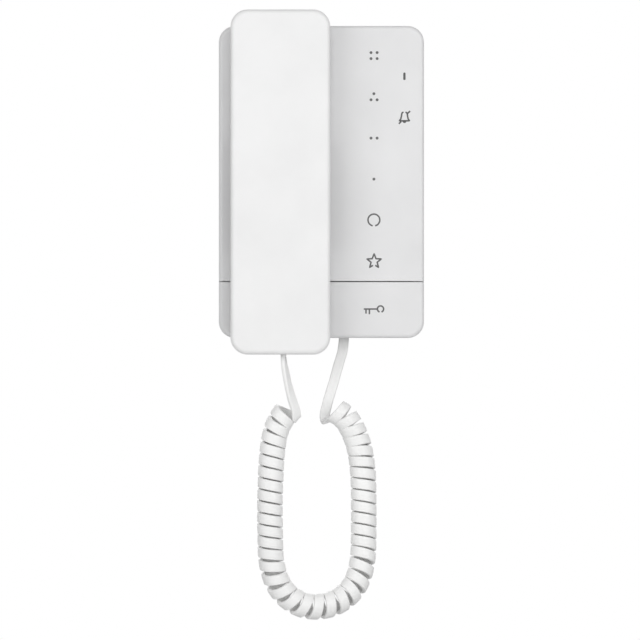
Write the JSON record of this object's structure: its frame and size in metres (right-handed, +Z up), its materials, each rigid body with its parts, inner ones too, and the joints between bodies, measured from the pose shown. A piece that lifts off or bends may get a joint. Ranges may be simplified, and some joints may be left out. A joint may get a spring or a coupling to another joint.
{
  "type": "audio intercom handset",
  "caption": "Wall-mounted door intercom station: base with touch symbols, magnetically held handset and flat curly cord.",
  "frame": {"origin": "middle of the wall bracket's hole circle, on the wall plane behind the base", "axes": "+X to the user's right, +Y into the wall, +Z up"},
  "size_m": [0.1064, 0.046, 0.3167],
  "materials": {
    "shell_plastic": "satin, fine moulded grain",
    "sheet_steel": "zinc-plated sheet",
    "plated_screws": "zinc-plated",
    "circuit_board": "green solder mask",
    "terminal_plastic": "satin",
    "can_aluminium": "drawn can",
    "dark_component": "satin",
    "capsule_metal": "plated",
    "foam_and_rubber": "matte",
    "light_guide_plastic": "smoke tint, gloss",
    "lamp_plastic": "clear",
    "magnet_nickel": "nickel-plated",
    "plain_steel": "mill finish",
    "moving_plastic": "satin",
    "socket_plastic": "satin",
    "plug_plastic": "clear, gloss",
    "wire_sheath": "satin",
    "cord_sheath": "satin"
  },
  "bodies": {
    "base": {"wall_bracket": "sheet_steel", "bracket_lock_screw": "plated_screws", "rear_housing": "shell_plastic", "front_cover": "shell_plastic", "cover_screws": "plated_screws", "main_board": "circuit_board", "board_screws": "plated_screws", "terminal_block": "terminal_plastic", "terminal_screws": "plated_screws", "electrolytic_capacitors": "can_aluminium", "line_transformer": "dark_component", "control_chip": "dark_component", "config_switch": "dark_component", "board_header": "dark_component", "ringer_speaker": "capsule_metal", "ringer_gasket": "foam_and_rubber", "touch_board": "circuit_board", "light_guide": "light_guide_plastic", "status_lamp": "lamp_plastic", "hook_switch": "dark_component", "holding_magnet": "magnet_nickel", "key_springs": "plain_steel", "door_switch": "dark_component", "base_jack": "socket_plastic", "base_plug": "plug_plastic", "base_lead": "cord_sheath", "cord_coil": "cord_sheath"},
    "handset": {"handset_rear_shell": "shell_plastic", "handset_front_shell": "shell_plastic", "handset_screws": "plated_screws", "receiver_capsule": "capsule_metal", "receiver_gasket": "foam_and_rubber", "receiver_wires": "wire_sheath", "mic_capsule": "capsule_metal", "mic_boot": "foam_and_rubber", "handset_board": "circuit_board", "handset_weight": "plain_steel", "catch_plate": "plain_steel", "handset_jack": "socket_plastic", "handset_plug": "plug_plastic", "handset_lead": "cord_sheath"},
    "hook_plunger": {"hook_plunger": "moving_plastic"},
    "lock_release_key": {"lock_release_key": "shell_plastic"},
    "door_switch_stem": {"door_switch_stem": "moving_plastic"}
  },
  "joints": [
    {"name": "handset_lift", "type": "slide", "parent": "base", "child": "handset", "axis": [0, -1, 0], "range_m": [0, 0.05], "deforming": ["cord_coil"]},
    {"name": "hook_plunger_slide", "type": "slide", "parent": "base", "child": "hook_plunger", "axis": [0, -1, 0], "range_m": [0, 0.003]},
    {"name": "lock_key_hinge", "type": "hinge", "parent": "base", "child": "lock_release_key", "pos_m": [0, -0.0186, -0.072], "axis": [-1, 0, 0], "range_deg": [0, 2.8], "stiffness_Nm_per_rad": 0.6, "springref_deg": -2.86, "deforming": ["key_springs"]},
    {"name": "door_switch_slide", "type": "slide", "parent": "base", "child": "door_switch_stem", "axis": [0, 1, 0], "range_m": [0, 0.0008]}
  ],
  "couplings": [
    {"joint": "hook_plunger_slide", "follows": "handset_lift", "ratio": 0.06},
    {"joint": "door_switch_slide", "follows": "lock_key_hinge", "m_per_rad": 0.015}
  ]
}
